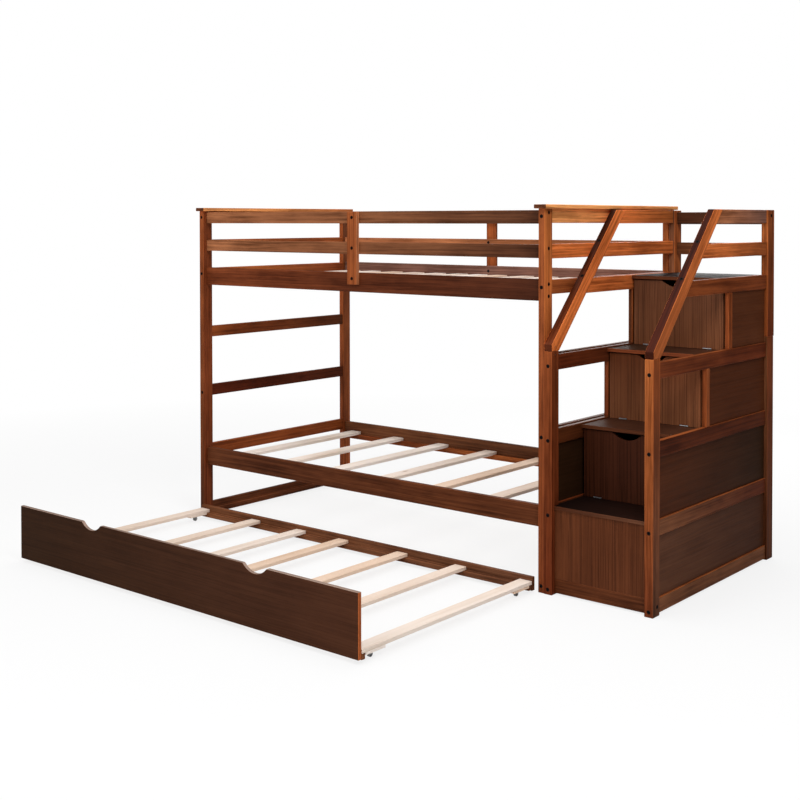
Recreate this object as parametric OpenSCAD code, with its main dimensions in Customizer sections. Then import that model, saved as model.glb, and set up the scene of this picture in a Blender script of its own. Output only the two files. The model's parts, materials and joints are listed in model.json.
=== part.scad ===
// Wooden bunk bed with a pull-out trundle and a storage staircase, in millimetres.
// X runs along the bed, Y runs to the back, Z is up. The origin is on the floor, in the
// middle of the box round the whole piece with the trundle pulled out.

/* [Bed frame] */
// Clear length between the left posts and the middle posts
inner_len = 1944; // [1920:2:2060]
// Clear depth between the front posts and the back posts
inner_dep = 950; // [940:2:1100]
// Post width along the bed
post_w = 28; // [26:1:40]
// Post depth from front to back
post_d = 56; // [50:1:70]
// Post height up to the underside of the cap
post_h = 1491; // [1470:1:1560]
// Cap board width along the bed
cap_w = 56; // [50:1:76]
// Cap board thickness
cap_t = 16; // [12:1:24]
// Cap overhang past the posts at the front and at the back
cap_over = 12; // [4:1:24]

/* [Rails] */
// Thickness of every rail board
rail_t = 22; // [18:1:26]
// Height of the end rails and of the stair rails
rail_h = 56; // [50:1:60]
// Height of the two ladder rungs in each end
rung_h = 53; // [44:1:60]
// Height of the long guard rails
guard_h = 53; // [44:1:60]
// Height of the four long side rails
side_h = 85; // [78:1:96]
// Set-back of the long rails behind the front of the posts
side_set = 20; // [14:1:24]
// Height of the lower side rails over the floor
low_z = 251; // [248:1:280]
// Thickness of the guide strip low on the inner side of each end
guide_t = 7; // [5:1:8]

/* [Slats] */
// Slat width
slat_w = 68; // [50:1:76]
// Slat thickness
slat_t = 15; // [12:1:20]
// Number of slats in the upper bunk
upper_slat_n = 14; // [8:1:16]
// Number of slats in the lower bunk
lower_slat_n = 7; // [5:1:12]
// Distance from the left posts to the first slat
slat_first = 50; // [20:1:90]
// Distance from the last slat to the middle posts
slat_last = 10; // [5:1:60]
// Ledger strip height
ledger_h = 25; // [18:1:26]
// Ledger strip depth
ledger_d = 22; // [16:1:30]

/* [Braces] */
// Width of the upright brace boards at the middle of the guard rails
brace_w = 54; // [44:1:80]
// Lap of the upright brace boards over the upper side rails
brace_lap = 52; // [40:1:70]

/* [Stairs] */
// Distance from one riser to the next
step_run = 200; // [185:1:206]
// Height of one step
step_rise = 288; // [284:1:290]
// Height of the lowest stair rail over the floor
foot_gap = 6; // [4:1:10]
// Stair width from outer face to outer face
stair_w = 470; // [440:1:520]
// Stair post width along the bed
stair_post_w = 36; // [33:1:44]
// Stair front post depth
stair_post_d = 50; // [44:1:60]
// Stair rear post depth
rear_post_d = 59; // [52:1:66]
// Height of the stair front posts over the third stair rail
stair_post_up = 15; // [8:1:40]
// Height of the stair rear posts over the third stair rail, up to the joint
rear_post_up = 25; // [8:1:60]
// Width of the upper rear posts along the bed
upper_post_w = 30; // [26:1:32]
// Tread board thickness
tread_t = 14; // [12:1:20]
// Drop of the tread tops below the stair rail tops
tread_drop = 6; // [2:1:10]
// Drop of the platform top below the top stair rail
platform_drop = 2; // [1:1:10]
// Overhang of each tread in front of the uprights under it
nosing = 12; // [8:1:24]
// Stair panel thickness
panel_t = 7; // [4:1:12]
// Width of the frame uprights beside the upper doors
mullion_d = 31; // [20:1:40]
// Thickness of the frame uprights beside the upper doors
mullion_w = 18; // [16:1:21]
// Height of the stair side rails over the bottom one
stair_rail_h = 60; // [52:1:64]
// Handrail board width
handrail_w = 56; // [50:1:60]
// Rise of the handrail for each unit of run
handrail_slope = 1.065; // [1.0:0.005:1.1]
// How much lower the stairs' rear guard sits than the bed's guards
back_guard_drop = 5; // [0:1:10]
// How much thinner the handrails are at their top than at their foot
handrail_taper = 8; // [0:0.5:10]
// Height of the upright front face at the foot of the handrail
handrail_foot = 26; // [10:1:40]
// Height of the small bolt in the right stair post over the bottom rail
low_bolt_up = 30; // [24:1:40]

/* [Storage doors] */
// Door board thickness
door_t = 15; // [12:1:18]
// Side gap beside each door
door_side_gap = 8; // [8:0.5:12]
// Gap between the right ends of the two upper doors and the stair wall
upper_door_gap = 2.5; // [2:0.5:8]
// How far the doors stand in front of the uprights
door_out = 6; // [0:1:6]
// Gap under each door
door_gap = 2; // [1.7:0.1:3]
// Gap over each door
door_top_gap = 4; // [1.7:0.1:6]
// Half width of the finger cut-outs in the doors
door_cut_half = 62; // [40:1:80]
// Depth of the finger cut-outs in the doors
door_cut_deep = 26; // [16:1:34]
// Distance of the finger cut-outs to the left of the door's middle
door_cut_off = 6; // [0:1:12]
// Rounding of the shoulders of every finger cut-out
cut_round = 12; // [4:1:20]
// Length of each hinge
hinge_len = 36; // [28:1:50]
// Distance of the hinge middle from the door end
hinge_in = 62; // [40:1:90]

/* [Trundle] */
// Length of the trundle's rails
trundle_len = 1925; // [1860:1:1930]
// Length of the trundle's front panel
tpanel_len = 1919; // [1840:1:1930]
// Gap between the bed and the pulled-out trundle
trundle_gap = 8; // [2:1:40]
// Trundle depth from panel front to rear rail back
trundle_dep = 1024; // [980:1:1030]
// Front panel thickness
tpanel_t = 16; // [14:1:22]
// Height of the front panel top over the floor
tpanel_top = 238; // [200:1:242]
// Height of the front panel bottom over the floor
tpanel_bot = 14.5; // [10:0.5:20]
// Rear rail top over the floor
trear_top = 63; // [56:1:90]
// Rear rail bottom over the floor
trear_bot = 9; // [6:1:12]
// Thickness of the rear rail and of its two slat ledgers
trear_t = 18; // [14:1:24]
// Height of the trundle ledgers
tledger_h = 22; // [16:1:26]
// Height of the underside of the trundle slats
tslat_z = 34; // [32:0.5:44]
// Trundle slat width
tslat_w = 57; // [50:1:80]
// Trundle slat thickness
tslat_t = 13.5; // [12:0.5:18]
// Number of slats in the trundle
tslat_n = 7; // [5:1:7]
// Half width of the two finger cut-outs in the front panel
tcut_half = 60; // [45:1:80]
// Depth of the two finger cut-outs in the front panel
tcut_deep = 28; // [18:1:40]
// Distance of each cut-out from the panel middle
tcut_x = 471; // [300:1:700]
// Height of the castor blocks under the end slats
block_h = 9.5; // [8:0.5:12]
// Length of the castor blocks
block_len = 100; // [60:1:140]
// Castor wheel radius
wheel_r = 10; // [9:0.5:10.5]
// Castor wheel width
wheel_w = 9; // [7:0.5:12]
// Distance of the castors from the trundle's front and back
castor_in = 86; // [60:1:110]

/* [Fasteners] */
// Bolt head diameter
bolt_head = 13.4; // [10:0.2:14]
// Bolt shank diameter
bolt_shank = 6; // [5:0.5:8]

/* [Hidden] */
$fn = 48;
fit = 0.3;
lip = 0.05;
joint_gap = 0.3;

// levels
rail_top = [for (i = [0:4]) foot_gap + rail_h + i * step_rise];
main_y_top = rail_top[4];
top_z = post_h - rail_h;
second_z = (main_y_top + top_z - rail_h) / 2;
guard_top = post_h - 6;
guard_second_z = second_z + (rail_h - guard_h) / 2;
up_side_z = main_y_top + 3 - side_h;
up_led_z = up_side_z + 2 + ledger_h;
low_led_z = low_z + ledger_h;

// bed places, measured from the front-left corner of the left front post
bed_l = inner_len + 2 * post_w;
bed_d = inner_dep + 2 * post_d;
mid_x = inner_len + post_w;
back_y = inner_dep + post_d;
lx0 = (post_w - rail_t) / 2;
mx0 = mid_x + lx0;
fy0 = side_set;
by0 = bed_d - side_set - rail_t;
brace_t = side_set;
brace_x = bed_l / 2;
brace_top = guard_top - 2;
brace_foot = up_side_z + side_h - brace_lap;

// stair places
sx0 = bed_l + joint_gap;
sx1 = sx0 + stair_w;
sfy = -3;
fbk = sfy + stair_post_d;
rfy = bed_d - 6 - rear_post_d;
rby = rfy + rear_post_d;
sl_in = sx0 + stair_post_w;
sr_in = sx1 - stair_post_w;
slr0 = sx0 + (stair_post_w - rail_t) / 2;
srr0 = sr_in + (stair_post_w - rail_t) / 2;
wall_l = slr0 + rail_t;
wall_r = srr0;
upright_y = [for (k = [0:3]) 37 + k * step_run];
door_y = [for (y = upright_y) y - door_out];
tread_top = [for (i = [1:4]) rail_top[i] - (i == 4 ? platform_drop : tread_drop)];
tread_y = [13, upright_y[1] - nosing, upright_y[2] - nosing, upright_y[3] - nosing];
riser_y = 18;
cross_y = 18;
back_cross_y = by0 - 1;
upper_post_top = post_h - 3;
upper_back = rby + 6;

// handrail edge lines, y at a height z
stair_post_h = rail_top[3] + stair_post_up;
rear_post_h = rail_top[3] + rear_post_up;
hand_z0 = stair_post_h + handrail_foot;
hand_a = atan(handrail_slope);
hand_dy = handrail_w / sin(hand_a);
function hand_f(z) = sfy + (z - hand_z0) / handrail_slope;
function hand_b(z) = hand_f(z) + hand_dy;

// doors
door_x0 = wall_l + door_side_gap;
door_x1 = wall_r - door_side_gap;
knuckle_r = 3;
axis_up = 3.4;
leaf_t = 1.2;
pin_r = 1.5;

// trundle
tx0 = (bed_l - trundle_len) / 2;
tx1 = tx0 + trundle_len;
ty0 = -trundle_gap - trundle_dep;
try1 = ty0 + trundle_dep;
trear_y = try1 - trear_t;
tslat_y0 = ty0 + tpanel_t;
tslat_top = tslat_z + tslat_t;
tend = 1;
tslat_pitch = (trundle_len - 2 * tend - tslat_w) / (tslat_n - 1);
tslat_shift = [0, 42, 26, -26, -2, -6, 0];
castor_x = [tx0 + tend + tslat_w / 2, tx1 - tend - tslat_w / 2];
castor_yy = [ty0 + castor_in, try1 - castor_in];
block_z = tslat_z - block_h;
axle_r = 1.5;

// middle of the whole piece
x_min = min(0, (post_w - cap_w) / 2);
x_mid = (x_min + sx1) / 2;
y_mid = (ty0 + bed_d + cap_over) / 2;

module place() {
  translate([-x_mid, -y_mid, 0]) children();
}

module bx(x0, x1, y0, y1, z0, z1) {
  translate([x0, y0, z0]) cube([x1 - x0, y1 - y0, z1 - z0]);
}

// board along Y in the end frames
module yrail(x0, z0, h) {
  bx(x0, x0 + rail_t, post_d, back_y, z0, z0 + h);
}

// cylinder along Y from y0 to y1
module cyl_y(x, z, r, y0, y1) {
  translate([x, y0, z]) rotate([-90, 0, 0]) cylinder(r = r, h = y1 - y0);
}

// cylinder along X from x0 to x1
module cyl_x(y, z, r, x0, x1) {
  translate([x0, y, z]) rotate([0, 90, 0]) cylinder(r = r, h = x1 - x0);
}

// bolt along +Y whose head lies flush in the face at y; len is the board it passes
module bolt_y(x, z, y, len, dir, grow) {
  h0 = grow > 0 ? -0.5 : 0.15;
  translate([x, y, z]) rotate([dir > 0 ? -90 : 90, 0, 0]) {
    translate([0, 0, h0]) cylinder(r = bolt_head / 2 + grow, h = 4 - h0 + grow * lip);
    translate([0, 0, h0]) cylinder(r = bolt_shank / 2 + grow, h = len - h0 + (grow > 0 ? 0.5 : 0));
  }
}

module bolt_x(y, z, x, len, dir, grow) {
  h0 = grow > 0 ? -0.5 : 0.15;
  translate([x, y, z]) rotate([0, dir > 0 ? 90 : -90, 0]) {
    translate([0, 0, h0]) cylinder(r = bolt_head / 2 + grow, h = 4 - h0 + grow * lip);
    translate([0, 0, h0]) cylinder(r = bolt_shank / 2 + grow, h = len - h0 + (grow > 0 ? 0.5 : 0));
  }
}

// bolt heights in the posts
end_bolt_z = [foot_gap + 21, rail_top[2] - 33, main_y_top - 28, top_z + 26];
side_bolt_z = [low_z + 20, low_z + side_h - 20, up_side_z + 19, up_side_z + side_h - 19,
  guard_second_z + guard_h / 2 + 12, guard_top - guard_h / 2 + 17];

module post_bolts(x, y, xdir, ydir, grow) {
  px = x + post_w / 2;
  py = ydir > 0 ? y : y + post_d;
  for (z = end_bolt_z) bolt_y(px, z, py, post_d, ydir, grow);
  sx = xdir > 0 ? x : x + post_w;
  sy = ydir > 0 ? fy0 + rail_t / 2 : by0 + rail_t / 2;
  for (z = side_bolt_z) bolt_x(sy, z, sx, post_w, xdir, grow);
}

module bed_post(x, y, xdir, ydir) {
  difference() {
    bx(x, x + post_w, y, y + post_d, 0, post_h);
    post_bolts(x, y, xdir, ydir, fit);
  }
}

module left_posts() color("saddlebrown") place() {
  bed_post(0, 0, 1, 1);
  bed_post(0, back_y, 1, -1);
}

module mid_posts() color("saddlebrown") place() {
  bed_post(mid_x, 0, -1, 1);
  bed_post(mid_x, back_y, -1, -1);
}

module end_guards(x0) {
  yrail(x0, top_z, rail_h);
  yrail(x0, second_z, rail_h);
  yrail(x0, main_y_top - rail_h, rail_h);
}

module left_guard_rails() color("peru") place() end_guards(lx0);

module mid_guard_rails() color("peru") place() end_guards(mx0);

// two rungs, the lower end rail, the bottom rail and its guide strip
module end_rungs(x0, inner) {
  for (i = [2, 3]) yrail(x0, rail_top[i] + 2 - rung_h, rung_h);
  yrail(x0, rail_top[1] - rail_h, rail_h);
  yrail(x0, foot_gap, rail_h);
  gx = inner > 0 ? x0 + rail_t : x0 - guide_t;
  bx(gx, gx + guide_t, post_d + 1, back_y - 1, foot_gap, foot_gap + 24);
}

module left_rungs() color("peru") place() end_rungs(lx0, 1);

module mid_rungs() color("peru") place() end_rungs(mx0, -1);

module end_cap(x) {
  bx(x - cap_w / 2, x + cap_w / 2, -cap_over, bed_d + cap_over, post_h, post_h + cap_t);
}

module left_cap() color("chocolate") place() end_cap(post_w / 2);

module mid_cap() color("chocolate") place() end_cap(mid_x + post_w / 2);

module long_guards(y0) {
  bx(post_w, mid_x, y0, y0 + rail_t, guard_top - guard_h, guard_top);
  bx(post_w, mid_x, y0, y0 + rail_t, guard_second_z, guard_second_z + guard_h);
}

brace_bolt_z = [guard_top - guard_h / 2, guard_second_z + guard_h / 2, brace_foot + brace_lap / 2];

module brace_bolts(back, grow) {
  y = back ? by0 : 0;
  for (i = [0:2]) {
    z = brace_bolt_z[i] + (back && i == 1 ? 9 : 0);
    bolt_y(brace_x, z, y, back ? rail_t + brace_t : brace_t, 1, grow);
  }
}

module front_guard_rails() color("sienna") place() long_guards(fy0);

module back_guard_rails() color("sienna") place() difference() {
  long_guards(by0);
  brace_bolts(true, fit);
}

module upper_side_rails() color("sienna") place() difference() {
  union() {
    for (y = [fy0, by0]) bx(post_w, mid_x, y, y + rail_t, up_side_z, up_side_z + side_h);
  }
  brace_bolts(true, fit);
}

module lower_side_rails() color("sienna") place() {
  for (y = [fy0, by0]) bx(post_w, mid_x, y, y + rail_t, low_z, low_z + side_h);
}

module slat_ledgers() color("peru") place() {
  for (z = [low_z, up_side_z + 2]) {
    bx(post_w, mid_x, fy0 + rail_t, fy0 + rail_t + ledger_d, z, z + ledger_h);
    bx(post_w, mid_x, by0 - ledger_d, by0, z, z + ledger_h);
  }
}

module brace(y0) {
  bx(brace_x - brace_w / 2, brace_x + brace_w / 2, y0, y0 + brace_t, brace_foot, brace_top);
}

module front_brace() color("peru") place() difference() {
  brace(0);
  brace_bolts(false, fit);
}

module back_brace() color("peru") place() difference() {
  brace(by0 + rail_t);
  brace_bolts(true, fit);
}

// a row of loose slats; each may lie a little off its even place
module slat_row(n, z, shift) {
  first = post_w + slat_first;
  pitch = (inner_len - slat_first - slat_last - slat_w) / (n - 1);
  for (i = [0:n - 1]) {
    x = first + i * pitch + (i < len(shift) ? shift[i] : 0);
    bx(x, x + slat_w, fy0 + rail_t + 1, by0 - 1, z, z + slat_t);
  }
}

module upper_slats() color("wheat") place() {
  slat_row(upper_slat_n, up_led_z, [0, 7, 20, 28, 31, 31, 14, -7, 12, 12]);
}

module lower_slats() color("wheat") place() slat_row(lower_slat_n, low_led_z, []);

module bed_bolts() color("black") place() {
  post_bolts(0, 0, 1, 1, 0);
  post_bolts(0, back_y, 1, -1, 0);
  post_bolts(mid_x, 0, -1, 1, 0);
  post_bolts(mid_x, back_y, -1, -1, 0);
  brace_bolts(false, 0);
  brace_bolts(true, 0);
}

// stair posts and their bolts
stair_bolt_z = [for (i = [0:3]) rail_top[i] - rail_h + 14];

module front_post_bolts(grow) {
  for (x = [sx0, sr_in], z = stair_bolt_z) bolt_y(x + stair_post_w / 2, z, sfy, stair_post_d, 1, grow);
  bolt_x(cross_y + rail_t / 2, foot_gap + low_bolt_up, sx1, stair_post_w, -1, grow);
}

module rear_post_bolts(grow) {
  for (x = [sx0, sr_in], z = stair_bolt_z) bolt_y(x + stair_post_w / 2, z, rby, rear_post_d, -1, grow);
}

module upper_post_bolts(grow) {
  for (z = [guard_top - guard_h / 2 + 5]) bolt_x(back_cross_y + rail_t / 2, z, sx1, upper_post_w, -1, grow);
}

module stair_front_posts() color("saddlebrown") place() difference() {
  union() {
    bx(sx0, sl_in, sfy, fbk, 0, stair_post_h);
    bx(sr_in, sx1, sfy, fbk, 0, stair_post_h);
  }
  front_post_bolts(fit);
}

module stair_rear_posts() color("saddlebrown") place() difference() {
  union() {
    bx(sx0, sl_in, rfy, rby, 0, rear_post_h);
    bx(sr_in, sx1, rfy, rby, 0, rear_post_h);
  }
  rear_post_bolts(fit);
}

module stair_upper_posts() color("saddlebrown") place() difference() {
  union() {
    bx(sl_in - upper_post_w, sl_in, rfy, upper_back, rear_post_h, upper_post_top);
    bx(sx1 - upper_post_w, sx1, rfy, upper_back, rear_post_h, upper_post_top);
  }
  upper_post_bolts(fit);
}

module side_frame_rails(x0) {
  bx(x0, x0 + rail_t, fbk, rfy, rail_top[0] - rail_h, rail_top[0]);
  for (i = [1:3]) bx(x0, x0 + rail_t, fbk, rfy, rail_top[i] - stair_rail_h, rail_top[i]);
}

module stair_left_rails() color("peru") place() side_frame_rails(slr0);

module stair_right_rails() color("peru") place() side_frame_rails(srr0);

module stair_mullions() color("saddlebrown") place() {
  for (x = [slr0, srr0 + rail_t - mullion_w], i = [2, 3]) {
    bx(x, x + mullion_w, upright_y[i], upright_y[i] + mullion_d, rail_top[i], rail_top[i + 1] - stair_rail_h);
  }
}

module side_panels(x0) {
  px = x0 + (rail_t - panel_t) / 2;
  for (i = [0:3]) {
    y0 = i < 2 ? fbk : upright_y[i] + mullion_d;
    bx(px, px + panel_t, y0, rfy, rail_top[i], rail_top[i + 1] - stair_rail_h);
  }
}

module stair_left_panels() color("maroon") place() side_panels(slr0);

module stair_right_panels() color("maroon") place() side_panels(srr0);

// guard rail whose front end is cut along the back edge of the handrail
module cut_rail(x0, z0, h) {
  translate([x0, 0, 0]) rotate([90, 0, 90]) linear_extrude(height = rail_t)
    polygon([[hand_b(z0), z0], [rfy, z0], [rfy, z0 + h], [hand_b(z0 + h), z0 + h]]);
}

module side_guards(x0) {
  cut_rail(x0, main_y_top - stair_rail_h, stair_rail_h);
  cut_rail(x0, second_z, rail_h);
  cut_rail(x0, upper_post_top - rail_h, rail_h);
}

module stair_left_guard() color("peru") place() side_guards(slr0);

module stair_right_guard() color("peru") place() side_guards(srr0);

hand_bolt_z = [for (z = [second_z, main_y_top - rail_h]) z + rail_h / 2 + handrail_w * cos(hand_a)];

// bolt square to the sloping front face of a handrail
module hand_bolts(x, grow) {
  h0 = grow > 0 ? -0.5 : 0.15;
  for (z = hand_bolt_z) translate([x, hand_f(z), z]) rotate([hand_a - 180, 0, 0]) {
    translate([0, 0, h0]) cylinder(r = bolt_head / 2 + grow, h = 4 - h0 + grow * lip);
    translate([0, 0, h0]) cylinder(r = bolt_shank / 2 + grow, h = handrail_w - h0 + (grow > 0 ? 0.5 : 0));
  }
}

module handrail(x0) {
  difference() {
    translate([x0, 0, 0]) rotate([90, 0, 90]) linear_extrude(height = stair_post_w)
      polygon([[sfy, stair_post_h], [hand_b(stair_post_h), stair_post_h], [hand_b(upper_post_top), upper_post_top],
        [hand_f(upper_post_top), upper_post_top], [sfy, hand_z0]]);
    translate([0, fbk + 1500, 0]) rotate([90, 0, 0]) linear_extrude(height = 1600)
      polygon([[x0 - 1, hand_z0], [x0, hand_z0], [x0 + handrail_taper, post_h], [x0 - 1, post_h]]);
    hand_bolts(x0 + (stair_post_w + handrail_taper) / 2, fit);
  }
}

module left_handrail() color("chocolate") place() handrail(sx0);

module right_handrail() color("chocolate") place() handrail(sr_in);

module stair_back_guard() color("sienna") place() {
  for (z = [guard_top - guard_h, guard_second_z]) {
    bx(sl_in, sx1 - upper_post_w, back_cross_y, back_cross_y + rail_t, z - back_guard_drop,
      z - back_guard_drop + guard_h);
  }
}

plat_under = tread_top[3] - tread_t;

module stair_cross_rails() color("peru") place() {
  bx(sl_in, sr_in, cross_y, cross_y + rail_t, foot_gap, foot_gap + rail_h);
  bx(sl_in, sr_in, back_cross_y, back_cross_y + rail_t, foot_gap, foot_gap + rail_h);
  bx(sl_in, sr_in, back_cross_y, back_cross_y + rail_t, rail_top[3] - rail_h, rail_top[3]);
  bx(sl_in, sx1 - upper_post_w, back_cross_y, back_cross_y + rail_t, plat_under - rail_h, plat_under);
}

module riser_1() color("maroon") place() {
  bx(sl_in, sr_in, riser_y, riser_y + door_t, foot_gap + rail_h, tread_top[0] - tread_t);
}

module shelf(i) {
  z1 = tread_top[i];
  z0 = z1 - tread_t;
  bx(wall_l, wall_r, max(tread_y[i], fbk), rfy, z0, z1);
  bx(sl_in, sr_in, tread_y[i], back_cross_y, z0, z1);
}

module tread_1() color("maroon") place() shelf(0);

module tread_2() color("maroon") place() shelf(1);

module tread_3() color("maroon") place() shelf(2);

module platform() color("maroon") place() shelf(3);

module stair_back_panels() color("maroon") place() {
  py = back_cross_y + (rail_t - panel_t) / 2;
  bx(sl_in, sr_in, py, py + panel_t, foot_gap + rail_h, rail_top[3] - rail_h);
  bx(sl_in, sr_in, py, py + panel_t, rail_top[3], plat_under - rail_h);
}

cleat_w = 16;
cleat_h = 20;

module tread_cleats() color("peru") place() {
  for (i = [0:3]) {
    y0 = i == 0 ? fbk : door_y[i] + door_t + fit;
    z1 = tread_top[i] - tread_t;
    bx(wall_l, wall_l + cleat_w, y0, rfy, z1 - cleat_h, z1);
    bx(wall_r - cleat_w, wall_r, y0, rfy, z1 - cleat_h, z1);
  }
}

module door_stops() color("peru") place() {
  for (i = [1:3]) {
    y0 = door_y[i] + door_t + fit;
    z1 = tread_top[i] - tread_t - cleat_h;
    bx(wall_l, wall_l + cleat_w + 4, y0, y0 + 20, tread_top[i - 1], z1);
    bx(wall_r - cleat_w - 4, wall_r, y0, y0 + 20, tread_top[i - 1], z1);
  }
}

module stair_bolts() color("black") place() {
  front_post_bolts(0);
  rear_post_bolts(0);
  upper_post_bolts(0);
  hand_bolts(sx0 + (stair_post_w + handrail_taper) / 2, 0);
  hand_bolts(sr_in + (stair_post_w + handrail_taper) / 2, 0);
}

// hinge: axis along X at the bottom front edge of the door
function axis_z(i) = tread_top[i - 1] + axis_up;
hinge_x = [door_x0 + hinge_in, door_x1 - hinge_in];
knuckle = (hinge_len - 1) / 3;

// middle knuckle, pin and the leaf that lies on the tread under the door
module fixed_leaf(x, y, z) {
  difference() {
    union() {
      cyl_x(y, z, knuckle_r, x - knuckle / 2, x + knuckle / 2);
      bx(x - knuckle / 2, x + knuckle / 2, y + 1, y + 5, z - axis_up, z - axis_up + leaf_t);
      bx(x - hinge_len / 2, x + hinge_len / 2, y + 4, y + 13, z - axis_up, z - axis_up + leaf_t);
      cyl_x(y, z, pin_r, x - hinge_len / 2, x + hinge_len / 2);
    }
  }
}

// two outer knuckles and the leaf let into the door bottom
module moving_leaf(x, y, z) {
  zl = z - axis_up + door_gap;
  difference() {
    union() {
      for (s = [-1, 1]) {
        xa = x + s * (knuckle / 2 + 0.5 + knuckle / 2);
        cyl_x(y, z, knuckle_r, xa - knuckle / 2, xa + knuckle / 2);
        bx(xa - knuckle / 2, xa + knuckle / 2, y + 1, y + 5, zl, zl + leaf_t);
      }
      bx(x - hinge_len / 2, x + hinge_len / 2, y + 4.4, y + 13, zl, zl + leaf_t);
    }
    cyl_x(y, z, pin_r + lip, x - hinge_len, x + hinge_len);
  }
}

module hinge_fixed_leaves() color("silver") place() {
  for (i = [1:3], x = hinge_x) fixed_leaf(x, door_y[i], axis_z(i));
}

// half-moon cut in a top edge at z1, with rounded shoulders, through boards from y0 to y1;
// the shoulder arcs stand off a hair so that they cross their neighbours and don't just touch
module finger_cut(xm, z1, half, deep, y0, y1) {
  r = (half * half + deep * deep) / (2 * deep);
  up = r - deep + cut_round;
  xs = sqrt((r + cut_round) * (r + cut_round) - up * up);
  xt = xs * r / (r + cut_round) - 2;
  zt = z1 + (r - deep) - up * r / (r + cut_round);
  xc = xs + 0.4;
  cyl_y(xm, z1 + r - deep, r, y0, y1);
  for (s = [-1, 1]) difference() {
    bx(xm + min(s * xt, s * xc), xm + max(s * xt, s * xc), y0, y1, zt, z1 + 1);
    cyl_y(xm + s * xc, z1 - cut_round + 0.1, cut_round, y0 - 1, y1 + 1);
  }
}

module door(i) {
  z0 = tread_top[i - 1] + door_gap;
  z1 = tread_top[i] - tread_t - door_top_gap;
  xm = (door_x0 + door_x1) / 2;
  difference() {
    bx(door_x0, i == 1 ? door_x1 : wall_r - upper_door_gap, door_y[i], door_y[i] + door_t, z0, z1);
    finger_cut(xm - door_cut_off, z1, door_cut_half, door_cut_deep, door_y[i] - 1, door_y[i] + door_t + 1);
    for (x = hinge_x) {
      bx(x - hinge_len / 2 - 1, x + hinge_len / 2 + 1, door_y[i] - 1, door_y[i] + 4.2, z0 - 1, z0 + 5.6);
      bx(x - hinge_len / 2 - 0.1, x + hinge_len / 2 + 0.1, door_y[i] - 1, door_y[i] + 13.1, z0 - 1, z0 + leaf_t);
    }
  }
}

module door_2() color("maroon") place() door(1);

module door_3() color("maroon") place() door(2);

module door_4() color("maroon") place() door(3);

module door_leaves(i) {
  for (x = hinge_x) moving_leaf(x, door_y[i], axis_z(i));
}

module door_2_leaves() color("silver") place() door_leaves(1);

module door_3_leaves() color("silver") place() door_leaves(2);

module door_4_leaves() color("silver") place() door_leaves(3);

// trundle
module trundle_panel() color("maroon") place() difference() {
  xm = (tx0 + tx1) / 2;
  bx(xm - tpanel_len / 2, xm + tpanel_len / 2, ty0, ty0 + tpanel_t, tpanel_bot, tpanel_top);
  for (s = [-1, 1]) {
    finger_cut(xm + s * tcut_x, tpanel_top, tcut_half, tcut_deep, ty0 - 1, ty0 + tpanel_t + 1);
  }
}

module trundle_rails() color("sienna") place() {
  bx(tx0, tx1, trear_y, try1, trear_bot, trear_top);
  bx(tx0 + 3, tx1 - 3, trear_y - trear_t, trear_y, tslat_z - tledger_h, tslat_z);
  bx(tx0 + 3, tx1 - 3, tslat_y0, tslat_y0 + trear_t, tslat_z - tledger_h, tslat_z);
}

module trundle_slats() color("wheat") place() difference() {
  union() {
    for (i = [0:tslat_n - 1]) {
      x = tx0 + tend + i * tslat_pitch + (i < tslat_n - 1 ? tslat_shift[i] : 0);
      bx(x, x + tslat_w, tslat_y0 + fit, trear_y - fit, tslat_z, tslat_top);
    }
  }
  for (x = castor_x, y = castor_yy) translate([x, y, tslat_z - 1]) cylinder(r = stem_r + fit, h = tslat_t - 1);
}

stem_r = 4;
cup_x = wheel_w / 2 + 3;
cup_y = wheel_r + 3;

module castor_blocks() color("wheat") place() difference() {
  union() {
    for (x = castor_x) {
      y0 = tslat_y0 + trear_t + fit;
      y1 = trear_y - trear_t - fit;
      bx(x - tslat_w / 2, x + tslat_w / 2, y0, y0 + block_len, block_z, tslat_z);
      bx(x - tslat_w / 2, x + tslat_w / 2, y1 - block_len, y1, block_z, tslat_z);
    }
  }
  for (x = castor_x, y = castor_yy) translate([x, y, block_z - 1]) cylinder(r = stem_r + fit, h = block_h + 2);
}

// plate under the block, two cheeks, axle and the stem up into the slat
module castor_mount(x, y) {
  zp = wheel_r * 2 + 1;
  bx(x - cup_x, x + cup_x, y - cup_y, y + cup_y, zp, block_z);
  for (s = [-1, 1]) {
    x0 = s > 0 ? x + cup_x - 2 : x - cup_x;
    bx(x0, x0 + 2, y - wheel_r * 0.6, y + wheel_r * 0.6, wheel_r * 0.6, zp);
  }
  cyl_x(y, wheel_r, axle_r, x - cup_x + 1, x + cup_x - 1);
  translate([x, y, zp]) cylinder(r = stem_r, h = tslat_top - zp - 2.5);
}

module castor_mounts() color("dimgray") place() {
  for (x = castor_x, y = castor_yy) castor_mount(x, y);
}

bracket_w = 16;
bracket_l = 30;
bracket_t = 1.5;

// small steel angles that hold the end slats to the front panel
module trundle_brackets() color("silver") place() {
  for (i = [0, 1]) {
    x = castor_x[i] + (i == 0 ? 1 : -1) * (tslat_w / 2 - bracket_w / 2 - 6);
    bx(x - bracket_w / 2, x + bracket_w / 2, tslat_y0, tslat_y0 + bracket_l, tslat_top, tslat_top + bracket_t);
    bx(x - bracket_w / 2, x + bracket_w / 2, tslat_y0, tslat_y0 + bracket_t, tslat_top, tslat_top + bracket_l);
  }
}

module wheel(x, y) color("dimgray") place() difference() {
  cyl_x(y, wheel_r, wheel_r, x - wheel_w / 2, x + wheel_w / 2);
  cyl_x(y, wheel_r, axle_r + lip, x - wheel_w, x + wheel_w);
}

module wheel_front_left() wheel(castor_x[0], castor_yy[0]);

module wheel_front_right() wheel(castor_x[1], castor_yy[0]);

module wheel_rear_left() wheel(castor_x[0], castor_yy[1]);

module wheel_rear_right() wheel(castor_x[1], castor_yy[1]);

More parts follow.
